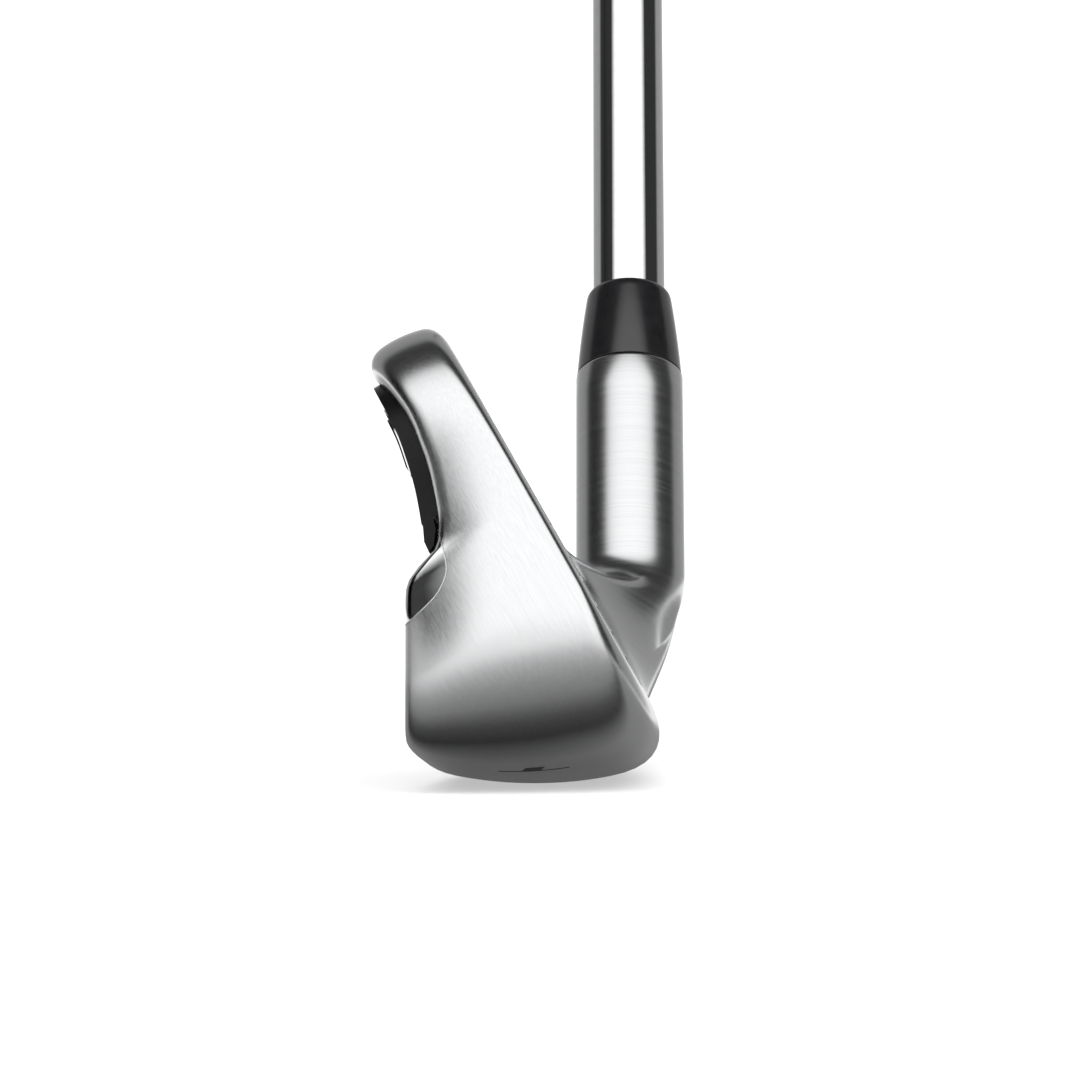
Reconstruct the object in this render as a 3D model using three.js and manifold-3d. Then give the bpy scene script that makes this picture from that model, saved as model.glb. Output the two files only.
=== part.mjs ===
// Right-handed cavity-back iron golf club, standing on its sole at address. Millimetres, +Z up.
// X runs from heel to toe, Y towards the target, and the origin is the flat patch under the sole.
import * as THREE from 'three';
import * as BufferGeometryUtils from 'three/addons/utils/BufferGeometryUtils.js';
import Module from 'manifold-3d';

const wasm = await Module();
wasm.setup();

// Driving dimensions
const LOFT = THREE.MathUtils.degToRad(29.3);
const LIE = THREE.MathUtils.degToRad(62.5);
const CLUB_LENGTH = 940;
const FACE_FOOT_Y = 19.68; // where the face plane would meet the ground
const SHAFT_FOOT = new THREE.Vector3(-38, 0, 0); // where the shaft axis meets the ground, seen from the front
const SHAFT_PLANE_Y = 12.7;
const FIT = 0.3; // clearance round pieces let into the head
const SLIP = 0.06; // clearance between nested round pieces

// Head outline in the face plane: x towards the toe, w up the face from the ground line
const TOE_X = 41;
const HEEL_X = -27;
const TOE_W = 27;
const PEAK_X = 26;
const PEAK_W = 59.9;
const TOPLINE_SLOPE = 0.58;
const TOPLINE_LEAN = 0.08; // rise of the topline towards its back edge
const TOPLINE_CURVE = 14;
const LIP_DEPTH = 1.5; // of the topline's back edge over the surface below it
const SOLE_CORNER_W = 3.25;
const SOLE_TILT = THREE.MathUtils.degToRad(2.7); // fall of the sole towards its back
const SOLE_ROCKER_RADIUS = 160;
const SOLE_TURN_X = 24;
const TOP_POWER = 2.4;
const SOLE_POWER = 2.4;

// Back of the head at the toe: [w up the face, depth behind the face plane]
const MUSCLE_DROP = 0.1; // fall of the back's features per mm towards the heel
const DEPTH_GAIN = 0.002; // depth first grows towards the heel, per mm from the toe
const DEPTH_TAPER = 0.00006; // and then falls off again, per mm squared
const BACK = [
  [75, 7.6], [52, 7.6], [46, 8.7], [42, 10], [40, 10.8], [37.9, 12.4], [37.3, 15],
  [36.4, 16.9], [34.9, 17.9], [24.2, 23.9], [11, 31.8],
];
const WINDOW_FOOT_W = 44.5;
const BADGE_FOOT_W = 41.2;
const BADGE_DEPTH = 1.2; // depth of its seat below the back
const PLATE_THICKNESS = 2.4; // face plate

// Hosel, shaft and grip, measured along the shaft axis from the ground
const ROUND_SEGMENTS = 32;
const HOSEL_RADIUS = 6.95;
const HOSEL_START = 26.5;
const HOSEL_TOP = 55.4;
const BORE_RADIUS = 5.02;
const BORE_BOTTOM = 22.5;
const SHAFT_TIP_RADIUS = 4.7;
const SHAFT_BUTT_RADIUS = 7.62;
const SHAFT_WALL = 0.45;
const SHAFT_START = 24;
const SHAFT_END = 932;
const STEP_START = 265;
const STEP_LENGTH = 44.45;
const STEP_COUNT = 9;
const FERRULE_LENGTH = 12;
const GRIP_START = 668;
const GRIP_TOP = 933.7;

const up = new THREE.Vector3(0, -Math.sin(LOFT), Math.cos(LOFT));
const back = new THREE.Vector3(0, -Math.cos(LOFT), -Math.sin(LOFT));
const foot = new THREE.Vector3(0, FACE_FOOT_Y, 0);
const lerp = THREE.MathUtils.lerp;

// A point of the head from its place in the face plane and its depth behind it
function place(x, w, d) {
  return foot.clone().addScaledVector(up, w).addScaledVector(back, d).add(new THREE.Vector3(x, 0, 0));
}

// Quarter of a rounded corner: 0 at t = 0 with no slope, 1 at t = 1 with a vertical tangent
function cornerRise(t, power) {
  return 1 - (1 - THREE.MathUtils.clamp(t, 0, 1) ** power) ** (1 / power);
}

function toplineHeight(x) {
  const start = PEAK_X - TOPLINE_CURVE;
  if (x > PEAK_X) return PEAK_W - (PEAK_W - TOE_W) * cornerRise((x - PEAK_X) / (TOE_X - PEAK_X), TOP_POWER);
  const gap = PEAK_X - Math.max(x, start);
  const curved = PEAK_W - (TOPLINE_SLOPE * gap * gap) / (2 * TOPLINE_CURVE);
  return curved - TOPLINE_SLOPE * Math.max(start - x, 0);
}

function soleHeight(x) {
  const rocker = SOLE_CORNER_W + (x * x) / (2 * SOLE_ROCKER_RADIUS);
  const toeRocker = SOLE_CORNER_W + (TOE_X * TOE_X) / (2 * SOLE_ROCKER_RADIUS);
  const turn = cornerRise((x - SOLE_TURN_X) / (TOE_X - SOLE_TURN_X), SOLE_POWER);
  return rocker + (TOE_W - toeRocker) * turn;
}

// Outward unit normal [x, w] of one side of the outline; side is +1 on the topline and -1 on the sole
function outlineNormal(x, side) {
  if (x >= TOE_X) return [1, 0];
  const height = side > 0 ? toplineHeight : soleHeight;
  const step = Math.min(1e-3, (TOE_X - x) / 2);
  const slope = (height(x + step) - height(x - step)) / (2 * step);
  const length = Math.hypot(1, slope);
  return [(-side * slope) / length, side / length];
}

// The back's profile at a station, tapered and lowered towards the heel
function backPoint([w, d], x) {
  const run = x - TOE_X;
  return [w + MUSCLE_DROP * run, d * (1 - DEPTH_GAIN * run - DEPTH_TAPER * run * run)];
}

// Where a ray in the [w, d] plane leaves through the back, with the back's direction there
function hitBack(w, d, rayW, rayD, x) {
  for (let i = 1; i < BACK.length; i += 1) {
    const [w0, d0] = backPoint(BACK[i - 1], x);
    const [w1, d1] = backPoint(BACK[i], x);
    const cross = rayW * (d1 - d0) - rayD * (w1 - w0);
    const along = (rayD * (w0 - w) - rayW * (d0 - d)) / cross;
    const reach = ((w0 - w) * (d1 - d0) - (d0 - d) * (w1 - w0)) / cross;
    if (along >= 0 && along <= 1 && reach > 0) {
      const length = Math.hypot(w1 - w0, d1 - d0);
      return { w: lerp(w0, w1, along), d: lerp(d0, d1, along), dirW: (w1 - w0) / length, dirD: (d1 - d0) / length };
    }
  }
  throw new Error(`no back behind x ${x}, w ${w}`);
}

function bezier(a, b, c, t) {
  return a.clone().multiplyScalar((1 - t) ** 2).addScaledVector(b, 2 * t * (1 - t)).addScaledVector(c, t * t);
}

// Depth over which the toe wall's crown is spread at a height up the face
function wallSpan(w) {
  return lerp(8.5, 22, THREE.MathUtils.smoothstep(46 - w, 0, 20));
}

// How far the toe wall's back edge is rounded off at a height up the face
function toeRounding(w) {
  return lerp(1.3, 3.8, THREE.MathUtils.smoothstep(38 - w, 0, 11));
}

// One strip of the rim at a station, from the face round the topline or sole to the back
const FRONT_STEPS = 4;
const WALL_STEPS = 6;
const REAR_STEPS = 2;
function rimColumn(x, side) {
  const [nx, nw] = outlineNormal(x, side);
  const share = Math.abs(nw);
  const onSole = side < 0;
  const size = (toe, top, sole) => lerp(toe, onSole ? sole : top, share);
  const outward = new THREE.Vector3(nx, 0, 0).addScaledVector(up, nw);
  const lean = (onSole ? Math.tan(LOFT - SOLE_TILT) : TOPLINE_LEAN) * share;
  const wallLength = Math.hypot(lean, 1);
  const w = onSole ? soleHeight(x) : toplineHeight(x);
  const corner = place(x, w, 0);
  const wall = new THREE.Vector3().addScaledVector(up, lean / wallLength).addScaledVector(back, 1 / wallLength);
  const hit = hitBack(w, 0, lean / wallLength, 1 / wallLength, x);
  const lip = onSole ? 0 : LIP_DEPTH * share * share;
  const rear = place(x, hit.w, hit.d + lip);
  const downBack = new THREE.Vector3().addScaledVector(up, hit.dirW).addScaledVector(back, hit.dirD);
  const inward = new THREE.Vector3(-nx, 0, 0).addScaledVector(downBack, -nw * up.dot(downBack)).normalize();
  const chord = corner.distanceTo(rear);
  const span = lerp(wallSpan(w), chord, share);
  const crown = (span * span) / (8 * size(35, 14, 45));
  const run = new THREE.Vector3(-side * nw, 0, 0).addScaledVector(up, side * nx);
  const bulge = run.cross(wall).normalize();
  if (bulge.dot(outward) < 0) bulge.negate();
  const onWall = (t) => corner.clone().lerp(rear, t).addScaledVector(bulge, crown * 4 * t * (1 - t));
  const wallSlope = (t) => wall.clone().addScaledVector(bulge, (crown * 4 * (1 - 2 * t)) / chord);
  const frontShare = size(1, 2, 8.3) / chord;
  const rearShare = 1 - size(toeRounding(w), 2.8, 4) / chord;
  const frontEnd = onWall(frontShare);
  const frontSlope = wallSlope(frontShare);
  const frontCorner = frontEnd.clone()
    .addScaledVector(frontSlope, -frontEnd.clone().sub(foot).dot(back) / frontSlope.dot(back));
  const faceEnd = frontCorner.clone().addScaledVector(outward, -size(1, 3, 8.8));
  const rearCorner = onWall(rearShare).addScaledVector(wallSlope(rearShare), (1 - rearShare) * chord);
  const backEnd = rear.clone().addScaledVector(inward, size(1.3, 2.4, 3.2));
  const points = [];
  for (let i = 0; i < FRONT_STEPS; i += 1) points.push(bezier(faceEnd, frontCorner, frontEnd, i / FRONT_STEPS));
  for (let i = 0; i < WALL_STEPS; i += 1) points.push(onWall(lerp(frontShare, rearShare, i / WALL_STEPS)));
  for (let i = 0; i <= REAR_STEPS; i += 1) {
    points.push(bezier(onWall(rearShare), rearCorner, backEnd, i / REAR_STEPS));
  }
  if (!onSole) points.push(backEnd.clone().addScaledVector(inward, 0.3).addScaledVector(back, -lip));
  return points;
}

// How far up the face a point of the head is
function faceHeight(point) {
  return point.clone().sub(foot).dot(up);
}

// The closed loop round the blade at a station: topline, back, sole, then up the face
const FACE_STEPS = 9;
function bladeLoop(x) {
  const top = rimColumn(x, 1);
  const sole = rimColumn(x, -1).reverse();
  const backTop = top.at(-1);
  const backFoot = sole[0];
  const high = faceHeight(backTop);
  const low = faceHeight(backFoot);
  const behind = BACK.slice(1, -1).map((pair) => {
    const w = THREE.MathUtils.clamp(backPoint(pair, x)[0], low, high);
    if (w === high) return backTop.clone();
    if (w === low) return backFoot.clone();
    const pointX = lerp(backTop.x, backFoot.x, (high - w) / (high - low));
    return place(pointX, ...backPoint(pair, pointX));
  });
  const face = [];
  for (let i = 1; i < FACE_STEPS; i += 1) face.push(sole.at(-1).clone().lerp(top[0], i / FACE_STEPS));
  const loop = [...top, ...behind, ...sole, ...face];
  loop.forEach((point) => { point.z = Math.max(point.z, 0); });
  return loop;
}

// Shaft axis, and the circle round it that a blade loop turns into
const shaftAxis = new THREE.Vector3(-Math.cos(LIE), 0, Math.sin(LIE));
const shaftToe = new THREE.Vector3(Math.sin(LIE), 0, Math.cos(LIE));
const shaftFoot = SHAFT_FOOT.clone().setY(SHAFT_PLANE_Y);
function hoselRing(count, along, radius) {
  const topMiddle = (FRONT_STEPS + WALL_STEPS + REAR_STEPS) / 2;
  return Array.from({ length: count }, (_, i) => {
    const angle = (2 * Math.PI * (i - topMiddle)) / count;
    return shaftFoot.clone().addScaledVector(shaftAxis, along)
      .addScaledVector(shaftToe, radius * Math.cos(angle))
      .add(new THREE.Vector3(0, -radius * Math.sin(angle), 0));
  });
}

// Loops from the heel end of the blade round into the foot of the hosel
const HEEL_STEPS = 9;
function heelLoops() {
  const start = bladeLoop(HEEL_X);
  const before = bladeLoop(HEEL_X + 1);
  const end = hoselRing(start.length, HOSEL_START, HOSEL_RADIUS);
  const loops = [];
  for (let step = 1; step < HEEL_STEPS; step += 1) {
    const t = step / HEEL_STEPS;
    loops.push(start.map((point, i) => {
      const reach = point.distanceTo(end[i]);
      const leave = point.clone().sub(before[i]).normalize().multiplyScalar(reach);
      return point.clone().multiplyScalar(2 * t ** 3 - 3 * t ** 2 + 1)
        .addScaledVector(leave, t ** 3 - 2 * t ** 2 + t)
        .addScaledVector(end[i], 3 * t ** 2 - 2 * t ** 3)
        .addScaledVector(shaftAxis, reach * (t ** 3 - t ** 2));
    }));
  }
  return loops;
}

// Skins closed loops into one surface; the last loop is capped and the first has no width
function skin(loops) {
  const count = loops[0].length;
  const positions = loops.flat().flatMap((point) => point.toArray());
  const cap = loops.at(-1).reduce((sum, point) => sum.add(point), new THREE.Vector3()).divideScalar(count);
  positions.push(...cap.toArray());
  const indices = [];
  for (let row = 0; row < loops.length - 1; row += 1) {
    for (let i = 0; i < count; i += 1) {
      const a = row * count + i;
      const b = row * count + ((i + 1) % count);
      indices.push(a, b + count, b, a, a + count, b + count);
    }
  }
  const last = (loops.length - 1) * count;
  for (let i = 0; i < count; i += 1) indices.push(last + ((i + 1) % count), last + i, last + count);
  const geometry = new THREE.BufferGeometry();
  geometry.setAttribute('position', new THREE.Float32BufferAttribute(positions, 3));
  geometry.setIndex(indices);
  return geometry;
}

// Solids for cutting and joining
function toSolid(geometry) {
  const bare = geometry.clone();
  bare.deleteAttribute('normal');
  bare.deleteAttribute('uv');
  const merged = BufferGeometryUtils.mergeVertices(bare, 1e-4);
  const indices = Array.from(merged.index.array);
  const kept = [];
  for (let i = 0; i < indices.length; i += 3) {
    const [a, b, c] = indices.slice(i, i + 3);
    if (a !== b && b !== c && a !== c) kept.push(a, b, c);
  }
  return new wasm.Manifold(new wasm.Mesh({
    numProp: 3,
    vertProperties: new Float32Array(merged.attributes.position.array),
    triVerts: new Uint32Array(kept),
  }));
}

function toGeometry(solid) {
  const mesh = solid.getMesh();
  const geometry = new THREE.BufferGeometry();
  geometry.setAttribute('position', new THREE.BufferAttribute(new Float32Array(mesh.vertProperties), 3));
  geometry.setIndex(new THREE.BufferAttribute(new Uint32Array(mesh.triVerts), 1));
  return geometry;
}

function moveVertices(geometry, move) {
  const position = geometry.attributes.position;
  for (let i = 0; i < position.count; i += 1) {
    position.setXYZ(i, ...move(position.getX(i), position.getY(i), position.getZ(i)).toArray());
  }
  return geometry;
}

function shapeFrom(pairs) {
  return new THREE.Shape(pairs.map(([a, b]) => new THREE.Vector2(a, b)));
}

// A solid with an outline in the face plane, from one depth to another
function facePrism(pairs, fromDepth, toDepth) {
  const geometry = new THREE.ExtrudeGeometry(shapeFrom(pairs), { depth: toDepth - fromDepth, bevelEnabled: false });
  return toSolid(moveVertices(geometry, (x, w, d) => place(x, w, d + fromDepth)));
}

// A solid with a [w, d] profile run from one x to another along the tapering back
const BACK_STEP = 8;
function backPrism(pairs, fromX, toX) {
  const depth = toX - fromX;
  const steps = Math.ceil(depth / BACK_STEP);
  const geometry = new THREE.ExtrudeGeometry(shapeFrom(pairs), { depth, steps, bevelEnabled: false });
  return toSolid(moveVertices(geometry, (w, d, run) => place(fromX + run, ...backPoint([w, d], fromX + run))));
}

// A round solid square to the face
function faceCylinder(x, w, radius, fromDepth, toDepth) {
  const circle = new THREE.Path().absarc(x, w, radius, 0, 2 * Math.PI).getPoints(ROUND_SEGMENTS).slice(0, -1);
  return facePrism(circle.map((point) => [point.x, point.y]), fromDepth, toDepth);
}

// The head's outline drawn in by different distances at the toe, the topline and the sole
const INSET_STATIONS = 16;
function insetOutline(atToe, atTop, atSole, heelX) {
  const side = (sign) => Array.from({ length: INSET_STATIONS + 1 }, (_, i) => {
    const x = toeStation(i / INSET_STATIONS, heelX);
    const [nx, nw] = outlineNormal(x, sign);
    const inset = lerp(atToe, sign > 0 ? atTop : atSole, Math.abs(nw));
    return [x - nx * inset, (sign > 0 ? toplineHeight(x) : soleHeight(x)) - nw * inset];
  });
  return [...side(-1), ...side(1).reverse().slice(1)];
}

// Stations from a heel x to the toe, close together where the outline turns steeply
function toeStation(t, heelX) {
  return TOE_X - (TOE_X - heelX) * (1 - t) ** 2.3;
}

// Moves a [w, d] path sideways; a positive distance moves it away from the back
function offsetPath(path, distance) {
  return path.map(([w, d], i) => {
    const [w0, d0] = path[Math.max(i - 1, 0)];
    const [w1, d1] = path[Math.min(i + 1, path.length - 1)];
    const length = Math.hypot(w1 - w0, d1 - d0);
    return [w + (distance * (d1 - d0)) / -length, d + (distance * (w1 - w0)) / length];
  });
}

const TOE_STATIONS = 15;
const BLADE_STATIONS = 6;
const BLADE_TURN_X = 9;
function headBlank() {
  const loops = [];
  for (let i = 0; i <= TOE_STATIONS; i += 1) loops.push(bladeLoop(toeStation(1 - i / TOE_STATIONS, BLADE_TURN_X)));
  for (let i = 1; i <= BLADE_STATIONS; i += 1) loops.push(bladeLoop(lerp(BLADE_TURN_X, HEEL_X, i / BLADE_STATIONS)));
  loops.push(...heelLoops());
  const count = loops[0].length;
  loops.push(hoselRing(count, HOSEL_START, HOSEL_RADIUS));
  loops.push(hoselRing(count, HOSEL_TOP - 0.4, HOSEL_RADIUS));
  loops.push(hoselRing(count, HOSEL_TOP, HOSEL_RADIUS - 0.2));
  return toSolid(skin(loops));
}

// A turned solid on the shaft axis from [radius, distance along the axis] pairs
function turned(pairs) {
  const profile = [...pairs, pairs[0]].map(([radius, along]) => new THREE.Vector2(radius, along));
  return new THREE.LatheGeometry(profile, ROUND_SEGMENTS).rotateX(Math.PI / 2);
}

function tube(inner, outer, from, to) {
  return turned([[inner, from], [outer, from], [outer, to], [inner, to]]);
}

const shaftMatrix = new THREE.Matrix4().makeBasis(shaftToe, new THREE.Vector3(0, 1, 0), shaftAxis)
  .setPosition(shaftFoot);

// Shape of each piece of the head
const blank = headBlank();

const PLATE_INSET = [3, 3.6, 9.4]; // at the toe, the topline and the sole
const PLATE_HEEL_X = -27;
const GROOVE_COUNT = 12;
const GROOVE_PITCH = 3.55;
const GROOVE_WIDTH = 0.8;
const GROOVE_DEPTH = 0.45;
const GROOVE_FOOT_W = 12.7;
const GROOVE_TOE_X = 25;
const GROOVE_HEEL_X = -24.5;
const GROOVE_MARGIN = 5.5;
function facePlate() {
  let plate = facePrism(insetOutline(...PLATE_INSET, PLATE_HEEL_X), 0, PLATE_THICKNESS);
  for (let i = 0; i < GROOVE_COUNT; i += 1) {
    const w = GROOVE_FOOT_W + i * GROOVE_PITCH;
    const toplineX = PEAK_X - TOPLINE_CURVE / 2 - (PEAK_W - GROOVE_MARGIN - w) / TOPLINE_SLOPE;
    const heelX = Math.max(GROOVE_HEEL_X, toplineX);
    const edge = GROOVE_WIDTH / 2;
    const outline = [[heelX, w - edge], [GROOVE_TOE_X, w - edge], [GROOVE_TOE_X, w + edge], [heelX, w + edge]];
    plate = plate.subtract(facePrism(outline, -1, GROOVE_DEPTH));
  }
  return plate;
}

function facePocket() {
  const outline = insetOutline(...PLATE_INSET.map((inset) => inset - FIT), PLATE_HEEL_X - FIT);
  return facePrism(outline, -1, PLATE_THICKNESS + FIT);
}

const WINDOW_INSET = 6;
const HOLLOW_X = [-24, 23];
const HOLLOW_FLOOR_Z = 3.6;
function above(z) {
  return toSolid(new THREE.BoxGeometry(200, 200, 100).translate(0, 0, z + 50));
}

function lowerHollow() {
  const withinRim = facePrism(insetOutline(WINDOW_INSET, WINDOW_INSET, WINDOW_INSET, HOLLOW_X[0] - 4), -5, 60);
  const pocket = backPrism([
    [10.5, 2], [47, 2], [47, 6.2], [44.5, 6.2], [38.5, 8.8], [35, 10],
    [32, 11.5], [30.5, 14], [29.5, 18], [24, 21.5], [17, 23.5], [8, 12],
  ], ...HOLLOW_X);
  return pocket.intersect(above(HOLLOW_FLOOR_Z)).intersect(withinRim);
}

function badgeWindow() {
  const through = backPrism([[WINDOW_FOOT_W, -5], [90, -5], [90, 40], [WINDOW_FOOT_W, 40]], -32, 48);
  return facePrism(insetOutline(WINDOW_INSET, WINDOW_INSET, WINDOW_INSET, -15), -5, 40).intersect(through);
}

function dampingInsert() {
  return backPrism([
    [17.6, 3.2], [34, 3.2], [34, 9], [27.5, 12.4], [23, 16.4], [20, 17.3], [17.6, 14.8], [16.6, 8],
  ], -13, 14).intersect(above(HOLLOW_FLOOR_Z + FIT));
}

// Turned weight pressed into a pocket behind the toe end of the face plate
const WEIGHT_X = 30.2;
const WEIGHT_W = 26;
const WEIGHT_RADIUS = 4.8;
const WEIGHT_DEPTH = 15.5; // of its far end
function toeWeight() {
  return faceCylinder(WEIGHT_X, WEIGHT_W, WEIGHT_RADIUS, PLATE_THICKNESS + 2 * FIT, WEIGHT_DEPTH);
}

function weightPocket() {
  return faceCylinder(WEIGHT_X, WEIGHT_W, WEIGHT_RADIUS + FIT, 1, WEIGHT_DEPTH + FIT);
}

// Layer over the upper back between two heights above its surface
function upperDepth(w) {
  const next = BACK.findIndex(([height]) => height < w);
  const [[w0, d0], [w1, d1]] = [BACK[next - 1], BACK[next]];
  return lerp(d0, d1, (w0 - w) / (w0 - w1));
}

const BADGE_HEEL_X = -18;
function backLayer(from, to, [atToe, atTop], footW) {
  const surface = [...BACK.filter(([w]) => w > footW + 0.5), [footW, upperDepth(footW)]];
  const under = surface.map(([w, d]) => [w, d + from]);
  const over = surface.map(([w, d]) => [w, d + to]).reverse();
  const heelX = BADGE_HEEL_X + atToe - BADGE_INSET[0];
  const outline = facePrism(insetOutline(atToe, atTop, atTop, heelX), -5, 60);
  return backPrism([...under, ...over], -32, 48).intersect(outline);
}

const BADGE_INSET = [2, 2.5]; // at the toe and the topline
const BADGE_PROUD = 2.1;
const TAPE_GAP = 0.15;
const TAPE_THICKNESS = 0.5;
function spread(insets, distance) {
  return insets.map((inset) => inset + distance);
}

function badgeTape() {
  const under = -BADGE_DEPTH + TAPE_GAP;
  return backLayer(under, under + TAPE_THICKNESS, spread(BADGE_INSET, 0.6), BADGE_FOOT_W + 0.9);
}

const INLAY_INSET = [4.6, 5.2];
const INLAY_WIDTH = 1;
const INLAY_FOOT_W = 47.3;
const INLAY_PROUD = 0.22; // above the badge
const PANEL_PROUD = 0.45; // of the badge inside the inlay
const PANEL_GAP = 0.2; // between it and the inlay
function inlayBand(gap, depth, proud) {
  const outer = backLayer(BADGE_PROUD - depth, proud, spread(INLAY_INSET, -gap), INLAY_FOOT_W - gap);
  const inside = INLAY_WIDTH + gap;
  const hole = backLayer(-5, 9, spread(INLAY_INSET, inside), INLAY_FOOT_W + inside);
  return outer.subtract(hole);
}

function badge() {
  const floor = TAPE_THICKNESS + 2 * TAPE_GAP - BADGE_DEPTH;
  const skirt = backPrism([
    [BADGE_FOOT_W + 1.2, 9.4], [BADGE_FOOT_W + 0.4, 9.6], [BADGE_FOOT_W + 0.4, 10.8], [40.2, 11.2],
    [38.7, 12.3], [38.3, 13.1], [39.6, 13], [41.6, 12.1], [BADGE_FOOT_W + 1.2, 11.8],
  ], -32, 48);
  const outline = facePrism(insetOutline(...BADGE_INSET, BADGE_INSET[1], BADGE_HEEL_X), -5, 60);
  const plate = backLayer(floor, BADGE_PROUD, BADGE_INSET, BADGE_FOOT_W + FIT);
  const within = INLAY_WIDTH + PANEL_GAP;
  const panel = backLayer(BADGE_PROUD - 0.5, BADGE_PROUD + PANEL_PROUD, spread(INLAY_INSET, within),
    INLAY_FOOT_W + within);
  return plate.add(skirt.intersect(outline)).add(panel).subtract(inlayBand(TAPE_GAP, 0.85, 9));
}

function badgeSeat() {
  return backLayer(-BADGE_DEPTH, 9, spread(BADGE_INSET, -FIT), BADGE_FOOT_W);
}

// Inner face of the polished plate on the muscle, from the ledge down to the back
const PLATE_BED = [
  [40.2, 10.9], [38.7, 11.2], [35.8, 12], [34.7, 12.7], [33.4, 14.5], [32.8, 16.7], [32.4, 18.6], [32.2, 22],
];
const MUSCLE_PLATE_HEEL_X = -16;
const BOND_THICKNESS = 0.4;
function muscleRegion(offset, heelX) {
  const bed = offsetPath(PLATE_BED, offset);
  return backPrism([...bed, [33.5, 26], [43, 26], [43, 10.9 - offset]], heelX, 48);
}

function muscleBond() {
  const near = offsetPath(PLATE_BED.slice(1, -2), TAPE_GAP);
  const far = offsetPath(PLATE_BED.slice(1, -2), TAPE_GAP + BOND_THICKNESS).reverse();
  return backPrism([...near, ...far], MUSCLE_PLATE_HEEL_X + 0.5, 24);
}

function headBody() {
  const bore = toSolid(turned([[0, BORE_BOTTOM], [BORE_RADIUS, BORE_BOTTOM], [BORE_RADIUS, HOSEL_TOP + 5],
    [0, HOSEL_TOP + 5]]).applyMatrix4(shaftMatrix));
  const plateSeat = muscleRegion(BOND_THICKNESS + 2 * TAPE_GAP, MUSCLE_PLATE_HEEL_X - FIT);
  return [facePocket(), lowerHollow(), badgeWindow(), badgeSeat(), weightPocket(),
    plateSeat, bore].reduce((body, cut) => body.subtract(cut), blank);
}

// Turned pieces along the shaft
function shaftProfile(thinner) {
  const stepRise = (SHAFT_BUTT_RADIUS - SHAFT_TIP_RADIUS) / STEP_COUNT;
  const points = [[SHAFT_TIP_RADIUS - thinner, SHAFT_START]];
  for (let i = 0; i < STEP_COUNT; i += 1) {
    const along = STEP_START + i * STEP_LENGTH;
    points.push([SHAFT_TIP_RADIUS + i * stepRise - thinner, along]);
    points.push([SHAFT_TIP_RADIUS + (i + 1) * stepRise - thinner, along + 0.8]);
  }
  points.push([SHAFT_BUTT_RADIUS - thinner, SHAFT_END]);
  return points;
}

function shaft() {
  return turned([...shaftProfile(0), ...shaftProfile(SHAFT_WALL).reverse()]);
}

function ferrule() {
  const bore = SHAFT_TIP_RADIUS + SLIP;
  const foot = HOSEL_TOP + 0.15;
  const top = foot + FERRULE_LENGTH;
  return turned([[bore, foot], [6.83, foot], [5.6, top - 0.8], [5.4, top - 0.2], [5.15, top], [bore, top]]);
}

const TAPE_INNER = SHAFT_BUTT_RADIUS + SLIP;
const TAPE_OUTER = TAPE_INNER + 0.25;
const GRIP_MOUTH_RADIUS = 9.8;
const GRIP_BUTT_RADIUS = 13.2;
function gripSleeve() {
  const core = TAPE_OUTER + SLIP;
  return turned([
    [core, GRIP_START], [GRIP_MOUTH_RADIUS - 0.6, GRIP_START], [GRIP_MOUTH_RADIUS, GRIP_START + 0.6],
    [GRIP_MOUTH_RADIUS + 0.9, GRIP_START + 100], [GRIP_BUTT_RADIUS - 0.9, GRIP_TOP - 40],
    [GRIP_BUTT_RADIUS, GRIP_TOP], [core, GRIP_TOP],
  ]);
}

const CAP_RADIUS = 13.5;
const VENT_RADIUS = 1.25;
function gripCap() {
  const foot = GRIP_TOP + FIT;
  return turned([
    [VENT_RADIUS, foot], [CAP_RADIUS, foot], [CAP_RADIUS, CLUB_LENGTH - 2.4], [CAP_RADIUS - 0.6, CLUB_LENGTH - 0.9],
    [CAP_RADIUS - 2, CLUB_LENGTH], [VENT_RADIUS, CLUB_LENGTH],
  ]);
}

function tipPlug() {
  const radius = SHAFT_TIP_RADIUS - SHAFT_WALL - SLIP;
  return turned([[0, SHAFT_START + 1], [radius, SHAFT_START + 1], [radius, SHAFT_START + 10], [0, SHAFT_START + 10]]);
}

// Materials
function material(color, roughness, metalness) {
  return new THREE.MeshStandardMaterial({ color, roughness, metalness });
}
const satinSteel = material('#b9bbbe', 0.38, 1);
const faceSteel = material('#aeb0b3', 0.5, 1);
const polishedSteel = material('#d6d8da', 0.08, 1);
const chrome = material('#dfe1e3', 0.06, 1);
const tungsten = material('#6d6f72', 0.5, 1);
const brass = material('#b79a4f', 0.4, 1);
const glossBlack = material('#0b0b0c', 0.15, 0);
const polymer = material('#3a3f46', 0.7, 0);
const foam = material('#5a5a58', 0.95, 0);
const epoxy = material('#a9a189', 0.5, 0);
const paperTape = material('#cfc5a8', 0.9, 0);
const rubber = material('#161617', 0.85, 0);

const club = new THREE.Group();
function add(parent, name, geometry, look) {
  const mesh = new THREE.Mesh(geometry, look);
  mesh.name = name;
  parent.add(mesh);
}

add(club, 'head_body', toGeometry(headBody()), satinSteel);
add(club, 'face_plate', toGeometry(facePlate()), faceSteel);
add(club, 'damping_insert', toGeometry(dampingInsert()), polymer);
add(club, 'toe_weight', toGeometry(toeWeight()), tungsten);
add(club, 'badge_tape', toGeometry(badgeTape()), foam);
add(club, 'badge_carrier', toGeometry(badge()), glossBlack);
add(club, 'badge_inlay', toGeometry(inlayBand(0, 0.7, BADGE_PROUD + INLAY_PROUD)), polishedSteel);
add(club, 'muscle_plate', toGeometry(muscleRegion(0, MUSCLE_PLATE_HEEL_X).intersect(blank)), polishedSteel);
add(club, 'muscle_bond', toGeometry(muscleBond()), epoxy);

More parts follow.
